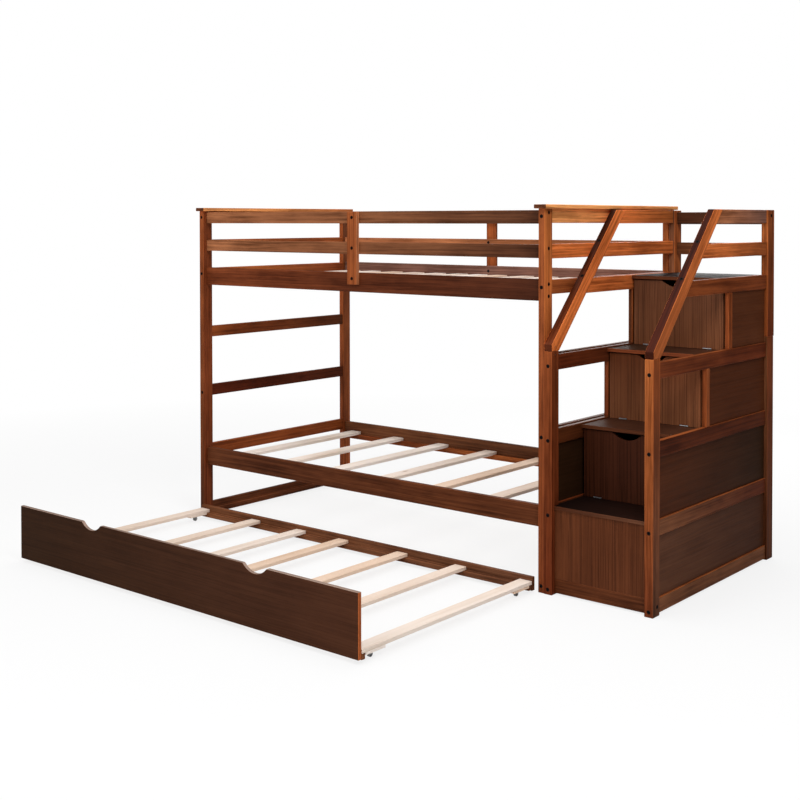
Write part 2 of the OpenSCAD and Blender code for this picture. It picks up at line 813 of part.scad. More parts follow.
left_posts();
mid_posts();
left_guard_rails();
left_rungs();
mid_guard_rails();
mid_rungs();
left_cap();
mid_cap();
front_guard_rails();
back_guard_rails();
upper_side_rails();
lower_side_rails();
slat_ledgers();
front_brace();
back_brace();
upper_slats();
lower_slats();
bed_bolts();
stair_front_posts();
stair_rear_posts();
stair_upper_posts();
stair_left_rails();
stair_right_rails();
stair_mullions();
stair_left_panels();
stair_right_panels();
stair_left_guard();
stair_right_guard();
left_handrail();
right_handrail();
stair_back_guard();
stair_cross_rails();
riser_1();
tread_1();
tread_2();
tread_3();
platform();
stair_back_panels();
tread_cleats();
door_stops();
stair_bolts();
hinge_fixed_leaves();
door_2();
door_2_leaves();
door_3();
door_3_leaves();
door_4();
door_4_leaves();
trundle_panel();
trundle_rails();
trundle_slats();
castor_blocks();
castor_mounts();
trundle_brackets();
wheel_front_left();
wheel_front_right();
wheel_rear_left();
wheel_rear_right();
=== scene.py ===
"""Finish for a stained bunk bed with storage stairs and a pull-out trundle.

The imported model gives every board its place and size. Each board is copied, its edges are
rounded, and it gets a wood finish that follows its own grain direction. Bolt heads, hinges,
castors, screws and the stage are added in the same frame.
"""

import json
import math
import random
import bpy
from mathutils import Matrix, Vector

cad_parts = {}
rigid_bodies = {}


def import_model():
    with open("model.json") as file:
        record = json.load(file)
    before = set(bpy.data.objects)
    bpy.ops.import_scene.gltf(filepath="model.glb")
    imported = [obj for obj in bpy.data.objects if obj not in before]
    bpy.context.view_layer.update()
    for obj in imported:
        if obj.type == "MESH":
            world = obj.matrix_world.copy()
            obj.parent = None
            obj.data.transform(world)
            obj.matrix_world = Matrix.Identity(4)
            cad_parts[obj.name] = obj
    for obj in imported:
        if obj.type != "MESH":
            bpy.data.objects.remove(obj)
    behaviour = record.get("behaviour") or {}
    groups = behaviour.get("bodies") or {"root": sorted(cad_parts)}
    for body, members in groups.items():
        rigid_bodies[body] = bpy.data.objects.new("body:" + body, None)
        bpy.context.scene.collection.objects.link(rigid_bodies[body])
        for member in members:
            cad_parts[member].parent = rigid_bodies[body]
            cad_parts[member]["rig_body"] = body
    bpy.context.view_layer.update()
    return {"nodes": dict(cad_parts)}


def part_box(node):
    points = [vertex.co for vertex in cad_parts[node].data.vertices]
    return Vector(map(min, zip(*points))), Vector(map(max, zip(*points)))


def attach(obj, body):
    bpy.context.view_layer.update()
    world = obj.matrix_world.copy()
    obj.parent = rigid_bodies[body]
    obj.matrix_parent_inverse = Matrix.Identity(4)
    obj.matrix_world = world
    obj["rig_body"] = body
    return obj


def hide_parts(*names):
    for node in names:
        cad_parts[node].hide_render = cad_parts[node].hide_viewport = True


bl_info = {
    "name": "Bunk Bed Finish",
    "version": (1, 0, 0),
    "blender": (4, 5, 0),
    "location": "3D View > Sidebar > Bunk Bed",
    "description": "Rounds the boards, stains the wood and adds the hardware of a bunk bed",
    "category": "Object",
}

import bmesh
import bpy
from bpy.props import FloatProperty, FloatVectorProperty, IntProperty, PointerProperty
from mathutils import Matrix, Vector

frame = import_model()

MM = 0.001


# Settings

def linear(r, g, b):
    """Scene colour of a colour given on a 0 to 255 scale."""
    return tuple(((c / 255 + 0.055) / 1.055) ** 2.4 if c > 10 else c / 255 / 12.92 for c in (r, g, b))


def stain(label, note, *rgb):
    return FloatVectorProperty(name=label, description=note, subtype="COLOR", size=3, min=0, max=1,
                               default=linear(*rgb))


class StainAndPaintedLightSettings(bpy.types.PropertyGroup):
    """Stain tones of the bed, with painted light and shade in them. A board gets a lighter or darker tone on
    its front, side and top faces by how the light falls on them, and some boards get darker tones where
    shadow falls on them.
    """
    # Honey and amber carry painted light: they are the lit tones, mostly of cap tops and of sides turned to
    # the lamps
    honey: stain("Honey", "Caps of the end frames", 244, 164, 98)
    amber: stain("Amber", "Guards of the stairs and outer sides of the handrails", 220, 118, 59)
    ginger: stain("Ginger", "Front brace and the upper posts of the stairs", 183, 114, 74)
    nutmeg: stain("Nutmeg", "Left end of the front guard boards", 157, 98, 63)
    toffee: stain("Toffee", "Light ends of posts and guards", 168, 93, 46)
    copper: stain("Copper", "Left posts and the back brace", 158, 82, 41)
    chestnut: stain("Chestnut", "Guard boards of the end frames", 142, 74, 37)
    smoke: stain("Smoke", "Greyish boards at the back", 121, 85, 73)
    cinnamon: stain("Cinnamon", "Second rung and the front posts of the stairs", 136, 68, 32)
    russet: stain("Russet", "Two upper doors and the rear rail of the trundle", 119, 72, 45)
    hazel: stain("Hazel", "Upper side rail and the slat ledgers", 118, 57, 29)
    auburn: stain("Auburn", "Right end of the trundle's rails", 98, 60, 40)
    sienna: stain("Sienna", "Riser, lower side rails, cleats and door stops", 91, 48, 26)
    cocoa: stain("Cocoa", "Side rails of the stairs", 96, 41, 19)
    coffee: stain("Coffee", "Foot of the left handrail", 84, 37, 17)
    mocha: stain("Mocha", "Cross rails and back panels of the stairs", 81, 40, 19)
    walnut: stain("Walnut", "Left panels of the stairs and the trundle front", 73, 41, 25)
    umber: stain("Umber", "Third rung", 78, 29, 12)
    # Espresso on the lowest door is painted shade
    espresso: stain("Espresso", "Lowest door", 66, 32, 18)
    rosewood: stain("Rosewood", "Third tread and the left end of the trundle front", 53, 32, 18)
    # Bark and peat carry painted shade: they are the shaded tones of the handrails' front faces and of the
    # lowest tread
    bark: stain("Bark", "Front face of the right handrail", 51, 17, 6)
    peat: stain("Peat", "Top of the left handrail", 38, 17, 9)
    # Ebony on the top of the lowest tread is painted shade
    ebony: stain("Ebony", "Lowest tread and the platform", 20, 7, 4)
    pine: stain("Pine", "Palest slats", 249, 237, 226)
    birch: stain("Birch", "Pale slats", 238, 223, 210)
    ash: stain("Ash", "Slats of a middle tone", 235, 216, 200)
    maple: stain("Maple", "Rosy slats", 233, 206, 183)
    # Frost is a painted highlight along the top edge of the trundle front
    frost: stain("Frost", "Pale upper edge of the trundle front", 140, 118, 106)


class WoodSettings(bpy.types.PropertyGroup):
    """Board edges and the look of the grain."""
    rounding: FloatProperty(
        name="Edge Rounding", description="Radius on the edges of the thick boards",
        default=2.4 * MM, min=0.5 * MM, max=4 * MM, unit="LENGTH")
    panel_rounding: FloatProperty(
        name="Panel Rounding", description="Radius on the edges of thin panels",
        default=1.2 * MM, min=0.2 * MM, max=2 * MM, unit="LENGTH")
    front_rounding: FloatProperty(
        name="Trundle Front Rounding", description="Radius on the edges of the trundle front",
        default=3.0 * MM, min=0.5 * MM, max=5 * MM, unit="LENGTH")
    segments: IntProperty(
        name="Rounding Steps", description="Faces across each rounded edge", default=3, min=1, max=6)
    figure: FloatProperty(
        name="Figure", description="Strength of the light and dark bands in the stained wood",
        default=0.8, min=0, max=1.5)
    gloss: FloatProperty(
        name="Roughness", description="Roughness of the satin varnish", default=0.42, min=0.1, max=0.9)
    tread_gloss: FloatProperty(
        name="Tread Roughness", description="Roughness of the treads and the platform",
        default=0.6, min=0.1, max=0.9)
    pine_gloss: FloatProperty(
        name="Pine Roughness", description="Roughness of the bare slats", default=0.62, min=0.1, max=0.9)


class HardwareSettings(bpy.types.PropertyGroup):
    """Bolt heads, screws and metal colours."""
    socket: FloatProperty(
        name="Socket Radius", description="Corner radius of the hexagon sockets in the bolt heads",
        default=3.2 * MM, min=1 * MM, max=5 * MM, unit="LENGTH")
    socket_depth: FloatProperty(
        name="Socket Depth", description="Depth of the hexagon sockets",
        default=2.6 * MM, min=0.5 * MM, max=3.5 * MM, unit="LENGTH")
    flare: FloatProperty(
        name="Head Flare", description="How much wider the rim of a bolt head is than its hole",
        default=1.14, min=1, max=1.3)
    screw: FloatProperty(
        name="Screw Radius", description="Radius of the small screw heads",
        default=2.6 * MM, min=1 * MM, max=4 * MM, unit="LENGTH")
    black: stain("Blackened Steel", "Bolts", 12, 11, 11)
    steel: stain("Steel", "Hinges, brackets and screws", 176, 176, 180)
    plastic: stain("Castor Plastic", "Wheels and castor bodies", 150, 152, 156)


class StageSettings(bpy.types.PropertyGroup):
    """Lamps, room and floor."""
    key: FloatProperty(
        name="Key Lamp", description="Power of the large lamp at the right", default=124, min=0)
    front: FloatProperty(
        name="Front Lamp", description="Power of the soft lamp in front", default=62, min=0)
    top: FloatProperty(
        name="Top Lamp", description="Power of the lamp over the bed", default=52, min=0)
    rear: FloatProperty(
        name="Rear Lamp", description="Power of the lamp that lights the slats from behind", default=60,
        min=0)
    sky: FloatProperty(
        name="Room Light", description="Strength of the soft light of the room", default=0.78, min=0)
    mirrored: FloatProperty(
        name="Mirrored Room", description="Share of the room's brightness seen in glossy surfaces",
        default=0.15, min=0, max=1)
    shade: FloatProperty(
        name="Dark Side", description="Share of the room light that the right side of the room gives",
        default=0.15, min=0, max=1)
    shadow: FloatProperty(
        name="Floor Shadow", description="How strongly the floor shows the shadow",
        default=0.2, min=0, max=1)


# Mesh helpers

def deselect():
    if bpy.context.object and bpy.context.object.mode != "OBJECT":
        bpy.ops.object.mode_set(mode="OBJECT")
    bpy.ops.object.select_all(action="DESELECT")


def pick(obj):
    deselect()
    obj.select_set(True)
    bpy.context.view_layer.objects.active = obj


def islands(mesh):
    """Lists of vertex numbers, one for each loose board, sorted by place."""
    link = list(range(len(mesh.vertices)))

    def root(i):
        while link[i] != i:
            link[i] = link[link[i]]
            i = link[i]
        return i

    for e in mesh.edges:
        a, b = root(e.vertices[0]), root(e.vertices[1])
        if a != b:
            link[a] = b
    groups = {}
    for i in range(len(mesh.vertices)):
        groups.setdefault(root(i), []).append(i)

    def corner(g):
        return tuple(round(min(mesh.vertices[i].co[k] for i in g), 3) for k in (0, 1, 2))

    return sorted(groups.values(), key=corner)


def extent(mesh, group):
    co = [mesh.vertices[i].co for i in group]
    lo = Vector([min(c[k] for c in co) for k in range(3)])
    hi = Vector([max(c[k] for c in co) for k in range(3)])
    return lo, hi


# Rise of the handrails for each metre back
HANDRAIL_RISE = 1.065
HAND_SLOPE = math.atan(HANDRAIL_RISE)
# The direction along a board, then across it and through it
AXES = {
    "x": (Vector((1, 0, 0)), Vector((0, 1, 0)), Vector((0, 0, 1))),
    "y": (Vector((0, 1, 0)), Vector((1, 0, 0)), Vector((0, 0, 1))),
    "z": (Vector((0, 0, 1)), Vector((1, 0, 0)), Vector((0, 1, 0))),
    "slope": (Vector((0, math.cos(HAND_SLOPE), math.sin(HAND_SLOPE))), Vector((1, 0, 0)),
              Vector((0, -math.sin(HAND_SLOPE), math.cos(HAND_SLOPE)))),
}


def grain_axis(lo, hi):
    size = hi - lo
    return "xyz"[max(range(3), key=lambda k: size[k])]


# Grain and stain of the boards

# Metres by which the grain of each board may start elsewhere, and how much lighter or darker it may be
GRAIN_SHIFTS = (40, 7, 7)
BOARD_SHADES = (0.98, 1.02)
# How fast the lightening of rounded edges, partly wear and partly painted highlight, grows as a face turns
# away from the flat sides
EDGE_WEAR_AND_HIGHLIGHT_SPREAD = 4


def board_finish(obj, tones, grain=None):
    """Writes the grain coordinates, the stain and the lighter rounded edges of every board as attributes of
    the mesh.
    tones gives the stain names of the front (Y), side (X) and top (Z) faces, one name or one per board; they
    differ as painted light and shade.
    A name such as amber>cocoa fades from the one stain to the other along the board, and some fades hold
    painted shade as well as stain.
    The lighter rounded edges are partly wear and partly painted highlight."""
    mesh = obj.data
    colours = bpy.context.scene.bed_stains
    rng = random.Random(obj.name)
    board_of = [0] * len(mesh.vertices)
    along = [0.0] * (3 * len(mesh.vertices))
    boards = []
    for number, group in enumerate(islands(mesh)):
        axes = AXES[grain or grain_axis(*extent(mesh, group))]
        shifts = [rng.uniform(0, most) for most in GRAIN_SHIFTS]
        for i in group:
            co = mesh.vertices[i].co
            along[3 * i:3 * i + 3] = [co.dot(axis) + shift for axis, shift in zip(axes, shifts)]
            board_of[i] = number
        reach = [mesh.vertices[i].co.dot(axes[0]) for i in group]
        boards.append((rng.uniform(*BOARD_SHADES), axes[0], min(reach), max(reach)))
    stain_and_painted_light = []
    worn_and_lit_edges = []
    for face in mesh.polygons:
        n = face.normal
        number = board_of[face.vertices[0]]
        axis = max(range(3), key=lambda k: abs(n[k]))
        # The stain is picked by the way the face points, so the front, side and top faces carry painted light
        # and shade
        names = tones[(1, 0, 2)[axis]]
        name = names if isinstance(names, str) else names[min(number, len(names) - 1)]
        shade, main, start, end = boards[number]
        first, _, last = name.partition(">")
        first, last = getattr(colours, first), getattr(colours, last or first)
        for i in face.vertices:
            share = (mesh.vertices[i].co.dot(main) - start) / (end - start)
            stain_and_painted_light.extend([shade * (a + (b - a) * share) for a, b in zip(first, last)] + [1.0])
        # Rounded edge faces are marked for lightening: partly wear, partly painted highlight
        worn_and_lit_edges.append(min(1.0, (1 - abs(n[axis])) * EDGE_WEAR_AND_HIGHLIGHT_SPREAD))
    # The stain attribute holds the stain with painted light and shade in it
    for name, kind, domain in (("grain", "FLOAT_VECTOR", "POINT"), ("stain", "FLOAT_COLOR", "CORNER"),
                               ("wear", "FLOAT", "FACE")):
        mesh.attributes.new(name, kind, domain)
    mesh.attributes["grain"].data.foreach_set("vector", along)
    mesh.attributes["stain"].data.foreach_set("color", stain_and_painted_light)
    mesh.attributes["wear"].data.foreach_set("value", worn_and_lit_edges)
    mesh.update()


# Boards copied from the CAD nodes

FLAT_WITHIN = math.radians(0.8)
ROUND_FROM = math.radians(40)
SMOOTH_WITHIN = math.radians(36)
SHORTEST_ROUNDED = 7 * MM
FINE_MERGE = 0.01 * MM
CURVE_MERGE = 0.55 * MM


def dress(node, tones, material, rounding, grain=None, smallest=SHORTEST_ROUNDED, keep=None,
          suffix="_wood", merge=FINE_MERGE):
    """Copies a CAD node, merges its mesh, rounds its long edges and gives it its finish.
    keep picks the edges to round, and a piece that isn't stained has no tones."""
    source = frame["nodes"][node]
    obj = source.copy()
    obj.data = source.data.copy()
    obj.parent = None
    obj.matrix_world = Matrix.Identity(4)
    for key in list(obj.keys()):
        del obj[key]
    obj.name = node + suffix
    obj.data.name = obj.name
    bpy.context.scene.collection.objects.link(obj)
    pick(obj)
    bpy.ops.object.mode_set(mode="EDIT")
    bpy.ops.mesh.select_all(action="SELECT")
    bpy.ops.mesh.remove_doubles(threshold=merge)
    bpy.ops.mesh.dissolve_limited(angle_limit=FLAT_WITHIN)
    bpy.ops.mesh.select_mode(type="EDGE")
    bpy.ops.mesh.select_all(action="DESELECT")
    bm = bmesh.from_edit_mesh(obj.data)
    chosen = [e for e in bm.edges if len(e.link_faces) == 2 and e.calc_face_angle(0) >= ROUND_FROM
              and e.calc_length() >= smallest and (keep is None or keep(e))]
    for e in chosen:
        e.select = True
    bm.select_flush_mode()
    bmesh.update_edit_mesh(obj.data)
    if chosen:
        bpy.ops.mesh.bevel(offset=rounding, segments=bpy.context.scene.bed_wood.segments, profile=0.5,
                           affect="EDGES", clamp_overlap=False)
    bpy.ops.object.mode_set(mode="OBJECT")
    bpy.ops.object.shade_smooth_by_angle(angle=SMOOTH_WITHIN)
    normals = obj.modifiers.new("even shading", "WEIGHTED_NORMAL")
    normals.keep_sharp = True
    bpy.ops.object.modifier_apply(modifier=normals.name)
    if tones:
        board_finish(obj, tones, grain)
    finish(obj, node, material)


def finish(obj, node, material):
    """Gives a finished piece its material and its body, and hides the CAD node that it stands for."""
    obj.data.materials.clear()
    obj.data.materials.append(material)
    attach(obj, frame["nodes"][node]["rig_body"])
    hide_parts(node)


# Material helpers

class Nodes:
    """Short way to build the nodes of a material or of the room."""

    def __init__(self, owner, output):
        owner.use_nodes = True
        self.owner = owner
        self.tree = owner.node_tree
        self.tree.nodes.clear()
        self.out = self.add(output)

    def add(self, kind, **values):
        node = self.tree.nodes.new(kind)
        for key, value in values.items():
            setattr(node, key, value)
        return node

    def join(self, a, b):
        self.tree.links.new(a, b)

    def feed(self, sockets, values):
        """Links each socket to the output given for it, or sets it to the value given."""
        for socket, value in zip(sockets, values):
            if isinstance(value, (int, float, tuple)):
                socket.default_value = value
            else:
                self.join(value, socket)

    def attribute(self, name):
        return self.add("ShaderNodeAttribute", attribute_name=name)

    def noise(self, vector, scale, detail=2.0, rough=0.5, warp=0.0):
        node = self.add("ShaderNodeTexNoise")
        node.inputs["Scale"].default_value = scale
        node.inputs["Detail"].default_value = detail
        node.inputs["Roughness"].default_value = rough
        node.inputs["Distortion"].default_value = warp
        self.join(vector, node.inputs["Vector"])
        return node.outputs[0]

    def mapped(self, vector, scale):
        node = self.add("ShaderNodeMapping")
        node.inputs["Scale"].default_value = scale
        self.join(vector, node.inputs["Vector"])
        return node.outputs[0]

    def waves(self, vector, per_metre, **values):
        """Noise with its own waves per metre along, across and through the board."""
        return self.noise(self.mapped(vector, per_metre), 1.0, **values)

    def math(self, kind, *values):
        node = self.add("ShaderNodeMath", operation=kind)
        self.feed(node.inputs, values)
        return node.outputs[0]

    def spread(self, value, low, high, to_low, to_high):
        node = self.add("ShaderNodeMapRange")
        self.feed(node.inputs, (value, low, high, to_low, to_high))
        return node.outputs[0]

    def blend(self, kind, factor, a, b):
        node = self.add("ShaderNodeMix", data_type="RGBA", blend_type=kind)
        self.feed((node.inputs[0], node.inputs[6], node.inputs[7]), (factor, a, b))
        return node.outputs[2]

    def ramp(self, value, *stops):
        node = self.add("ShaderNodeValToRGB")
        ramp = node.color_ramp
        while len(ramp.elements) < len(stops):
            ramp.elements.new(0.5)
        for element, (place, colour) in zip(ramp.elements, stops):
            element.position = place
            element.color = (*colour, 1)
        self.join(value, node.inputs[0])
        return node.outputs[0]


class Surface(Nodes):
    """Nodes of a material with one shader for colour, roughness and relief."""

    def __init__(self, name):
        super().__init__(bpy.data.materials.new(name), "ShaderNodeOutputMaterial")
        self.shader = self.add("ShaderNodeBsdfPrincipled")
        self.join(self.shader.outputs[0], self.out.inputs["Surface"])

    def complete(self, base, roughness, shine, height, strength, depth):
        """Sets the shader's colour, roughness and reflection, and the fine relief over it."""
        self.join(base, self.shader.inputs["Base Color"])
        self.join(roughness, self.shader.inputs["Roughness"])
        self.shader.inputs["Specular IOR Level"].default_value = shine
        bump = self.add("ShaderNodeBump")
        bump.inputs["Strength"].default_value = strength
        bump.inputs["Distance"].default_value = depth
        self.join(height, bump.inputs["Height"])
        self.join(bump.outputs[0], self.shader.inputs["Normal"])
        return self.owner


# Waves per metre of the layers of the wood: along a board, across it and through it
BENDS = (1.3, 5, 5)
BANDS = (1.6, 105, 105)
BLOTCHES = (3.4, 9, 9)
FIBRES = (9, 330, 330)
PORES = (26, 900, 900)
STREAKS = (1.2, 330, 330)
PINE_RINGS = (1.6, 46, 46)
PINE_BLOTCHES = (2.6, 9, 9)
PINE_FIBRES = (10, 420, 420)
PINE_KNOTS = (3.1, 9, 9)
# How far the bands of a board wander sideways, the lighter colours over rounded edges, partly wear and partly
# painted highlight, and the colour in knots
SIDEWAYS_BEND = (0.0, 0.02, 0.02)
EDGE_WEAR_AND_HIGHLIGHT = (1.7, 1.7, 1.7, 1)
PINE_EDGE_WEAR_AND_HIGHLIGHT = (1.08, 1.08, 1.08, 1)
KNOT_BROWN = (0.28, 0.13, 0.055, 1)


def stained_wood(name, figure, gloss, shine=0.06, streaks=0.14):
    """Stained pine: bands along the board, fine dark streaks, fibres, blotches and lighter rounded edges,
    partly wear and partly painted highlight.
    """
    n = Surface(name)
    grain = n.attribute("grain").outputs["Vector"]
    colour = n.attribute("stain").outputs["Color"]
    wear = n.attribute("wear").outputs["Fac"]
    bend = n.waves(grain, BENDS)
    bent = n.add("ShaderNodeVectorMath", operation="MULTIPLY_ADD")
    bent.inputs[1].default_value = SIDEWAYS_BEND
    n.join(bend, bent.inputs[0])
    n.join(grain, bent.inputs[2])
    bands = n.waves(bent.outputs[0], BANDS, detail=3.0, rough=0.6, warp=0.4)
    blotch = n.waves(grain, BLOTCHES, detail=3.0, rough=0.55)
    fibre = n.waves(grain, FIBRES, detail=3.0, rough=0.6)
    pores = n.waves(grain, PORES, rough=0.6)
    thin = n.waves(bent.outputs[0], STREAKS, detail=0.0)
    # Bands, blotches and fibres add up to one level, which darkens or lightens the stain
    mix = n.math("MULTIPLY", bands, 0.42)
    mix = n.math("MULTIPLY_ADD", blotch, 0.38, mix)
    mix = n.math("MULTIPLY_ADD", fibre, 0.20, mix)
    dark = (1 - 0.60 * figure, 1 - 0.66 * figure, 1 - 0.72 * figure)
    light = (1 + 0.50 * figure, 1 + 0.56 * figure, 1 + 0.56 * figure)
    tone = n.ramp(n.spread(mix, 0.40, 0.60, 0.0, 1.0), (0.0, dark), (0.5, (1.0, 1.0, 1.0)), (1.0, light))
    base = n.blend("MULTIPLY", 1.0, colour, tone)
    base = n.blend("MULTIPLY", 1.0, base, n.spread(pores, 0.58, 0.72, 1.0, 0.72))
    base = n.blend("MULTIPLY", 1.0, base, n.spread(thin, 0.34, 0.52, 1.0 - streaks, 1.0 + 0.4 * streaks))
    # Lighter rounded edges: partly wear, partly painted highlight
    base = n.blend("MULTIPLY", n.math("MULTIPLY", wear, 0.75), base, EDGE_WEAR_AND_HIGHLIGHT)
    roughness = n.spread(fibre, 0.3, 0.7, gloss - 0.07, gloss + 0.1)
    return n.complete(base, roughness, shine, n.math("MULTIPLY_ADD", pores, -0.4, fibre), 0.22, 0.6 * MM)


def bare_pine(name, gloss):
    """Pale bare pine with soft year rings, resin streaks and small knots."""
    n = Surface(name)
    grain = n.attribute("grain").outputs["Vector"]
    colour = n.attribute("stain").outputs["Color"]
    wear = n.attribute("wear").outputs["Fac"]
    rings = n.waves(grain, PINE_RINGS, detail=3.0, rough=0.55, warp=0.8)
    blotch = n.waves(grain, PINE_BLOTCHES)
    fibre = n.waves(grain, PINE_FIBRES, detail=3.0, rough=0.6)
    # Rings, fibres and blotches add up to one level, and round cells make the knots
    mix = n.math("MULTIPLY", rings, 0.45)
    mix = n.math("MULTIPLY_ADD", fibre, 0.15, mix)
    mix = n.math("MULTIPLY_ADD", blotch, 0.4, mix)
    tone = n.ramp(n.spread(mix, 0.33, 0.67, 0.0, 1.0),
                  (0.0, (0.86, 0.79, 0.72)), (0.5, (1.0, 0.99, 0.98)), (1.0, (1.06, 1.07, 1.1)))
    base = n.blend("MULTIPLY", 1.0, colour, tone)
    cells = n.add("ShaderNodeTexVoronoi", feature="F1")
    cells.inputs["Scale"].default_value = 1.0
    n.join(n.mapped(grain, PINE_KNOTS), cells.inputs["Vector"])
    knot = n.spread(cells.outputs["Distance"], 0.04, 0.1, 1.0, 0.0)
    base = n.blend("MIX", n.math("MULTIPLY", knot, 0.75), base, KNOT_BROWN)
    # Lighter rounded edges: partly wear, partly painted highlight
    base = n.blend("MULTIPLY", n.math("MULTIPLY", wear, 0.5), base, PINE_EDGE_WEAR_AND_HIGHLIGHT)
    roughness = n.spread(fibre, 0.3, 0.7, gloss - 0.06, gloss + 0.1)
    return n.complete(base, roughness, 0.12, fibre, 0.18, 0.5 * MM)


def metal(name, colour, gloss, scale=900.0, metallic=1.0, shine=0.5):
    """Metal or smooth plastic with fine scratches and a slight change of tone."""
    n = Surface(name)
    place = n.add("ShaderNodeTexCoord").outputs["Object"]
    speck = n.noise(place, scale, 3.0, 0.6)
    cloud = n.noise(place, 60.0)
    tone = n.ramp(n.math("MULTIPLY_ADD", cloud, 0.6, n.math("MULTIPLY", speck, 0.4)),
                  (0.3, (0.72, 0.72, 0.72)), (0.7, (1.15, 1.15, 1.15)))
    n.shader.inputs["Metallic"].default_value = metallic
    roughness = n.spread(speck, 0.3, 0.7, gloss - 0.06, gloss + 0.12)
    return n.complete(n.blend("MULTIPLY", 1.0, (*colour, 1), tone), roughness, shine, speck, 0.15, 0.1 * MM)


def make_finish(name):
    """Builds the material of one finish from the settings."""
    wood = bpy.context.scene.bed_wood
    hardware = bpy.context.scene.bed_hardware
    if name == "stained wood":
        return stained_wood(name, wood.figure, wood.gloss)
    if name == "stained panel":
        return stained_wood(name, wood.figure * 0.4, wood.gloss + 0.02, streaks=0.1)
    if name == "stained door":
        return stained_wood(name, wood.figure * 0.3, wood.gloss + 0.02, streaks=0.34)
    if name == "stained tread":
        return stained_wood(name, wood.figure * 0.5, wood.tread_gloss, shine=0.1)
    if name == "bare pine":
        return bare_pine(name, wood.pine_gloss)
    if name == "black steel":
        return metal(name, hardware.black, 0.55, metallic=0.0, shine=0.12)
    if name == "steel":
        return metal(name, hardware.steel, 0.34)
    if name == "castor plastic":
        return metal(name, hardware.plastic, 0.45, scale=500.0, metallic=0.0)
    raise ValueError("no finish is named " + name)


finishes = {}


def finish_named(name):
    """Makes each finish once, when the first piece asks for it."""
    if name not in finishes:
        finishes[name] = make_finish(name)
    return finishes[name]


def dress_group(pieces, finish_name, rounding):
    """Dresses the nodes of one table in the same finish."""
    for node, (tones, grain) in pieces.items():
        dress(node, tones, finish_named(finish_name), rounding, grain)


def faces(front, side=None, top=None):
    """Stains of the front (Y), side (X) and top (Z) faces, one name or a tuple with one for each board.
    The tones differ from face to face as painted light and shade. Faces that are left out take the stain of
    the front."""
    return front, side or front, top or front


# The stains of each node's boards, with painted light and shade in them, and their grain direction, where
# None is along the longest side

BED_POSTS = {
    "left_posts": (faces(("sienna>copper", "hazel>copper"), ("hazel", "copper>sienna")), "z"),
    "mid_posts": (faces(("hazel>chestnut", "toffee"), "amber>toffee"), "z"),
}
END_BOARDS = {
    "left_guard_rails": (faces("sienna", ("toffee>hazel", "chestnut", "chestnut"), "copper"), None),
    "left_rungs": (faces(("sienna", "cinnamon", "umber>coffee", "cinnamon>mocha")), None),
    "mid_guard_rails": (faces("sienna", ("chestnut", "amber", "honey>amber"), "chestnut"), None),
    "mid_rungs": (faces("sienna"), None),
    "left_cap": (faces("sienna", "honey>toffee", "honey>toffee"), None),
    "mid_cap": (faces("sienna", "honey", "honey"), None),
}
LONG_BOARDS = {
    "front_guard_rails": (faces("nutmeg>walnut", "nutmeg>walnut", "sienna"), None),
    "back_guard_rails": (faces("ginger>russet", "smoke", "hazel"), None),
    "upper_side_rails": (faces(("hazel>espresso", "smoke")), None),
    "lower_side_rails": (faces(("sienna", "russet>walnut")), None),
    "slat_ledgers": (faces("hazel>toffee",
                           ("hazel", "hazel", "hazel>toffee", "hazel"),
                           ("hazel", "hazel", "hazel>toffee", "hazel")), None),
    "front_brace": (faces("chestnut", "ginger"), "z"),
    "back_brace": (faces("copper"), "z"),
}
STAIR_FRAME = {
    "stair_front_posts": (faces(("cocoa>cinnamon", "hazel>toffee"), ("cocoa>hazel", "auburn>cinnamon")), "z"),
    "stair_rear_posts": (faces("mocha>russet", "sienna>hazel", ("sienna", "mocha>russet")), "z"),
    "stair_upper_posts": (faces(("ginger>auburn", "cinnamon>toffee"),
                                ("toffee>copper", "cocoa>chestnut")), "z"),
    "stair_left_rails": (faces(("cocoa", "cocoa", "mocha", "cocoa>walnut"),
                               ("mocha", "mocha", "mocha", "cocoa>walnut")), None),
    "stair_right_rails": (faces("sienna",
                                ("russet", "russet>cocoa", "coffee", "hazel>cocoa"),
                                "chestnut"), None),
    "stair_mullions": (faces(("hazel", "sienna", "cinnamon", "copper"),
                             ("chestnut", "chestnut", "chestnut", "cinnamon")), "z"),
    "stair_cross_rails": (faces("mocha>sienna",
                                ("mocha>sienna", "mocha", "mocha", "mocha"),
                                ("mocha>sienna", "mocha", "mocha", "mocha")), None),
    "stair_back_guard": (faces(("russet", "walnut")), None),
    "stair_left_guard": (faces(("amber>chestnut", "amber", "amber>toffee")), None),
    "stair_right_guard": (faces(("cinnamon>hazel", "amber>chestnut", "ginger>smoke")), None),
    "tread_cleats": (faces("sienna"), None),
    "door_stops": (faces("sienna"), "z"),
}
STAIR_PANELS = {
    # The second left panel's side fades to ebony near the door: partly stain, partly painted shade
    "stair_left_panels": (faces("walnut", ("walnut", "rosewood>ebony", "walnut", "walnut")), "y"),
    "stair_right_panels": (faces("sienna", ("auburn>walnut", "mocha>rosewood", "mocha", "sienna")), "y"),
    "stair_back_panels": (faces("mocha"), "z"),
}
TREADS = {
    # The dark top of the lowest tread is painted shade
    "tread_1": (faces("mocha>auburn", "mocha>auburn", "ebony>peat"), "x"),
    "tread_2": (faces("sienna", "sienna", "walnut"), "x"),
    "tread_3": (faces("hazel", "hazel", "rosewood>walnut"), "x"),
    "platform": (faces("sienna", "sienna", "ebony"), "x"),
}
HANDRAILS = {
    # The light sides and dark fronts of the handrails are painted light and painted shade
    "left_handrail": (faces("coffee>peat", "amber"), "slope"),
    "right_handrail": (faces("bark", "chestnut>amber"), "slope"),
}
TRUNDLE_BOARDS = {
    # The top of the trundle front carries a painted highlight
    "trundle_panel": (faces("rosewood>walnut", "copper", "frost"), "x"),
    "trundle_rails": (faces("russet>auburn", ("russet>auburn", "russet"), ("russet>auburn", "russet")), None),
}
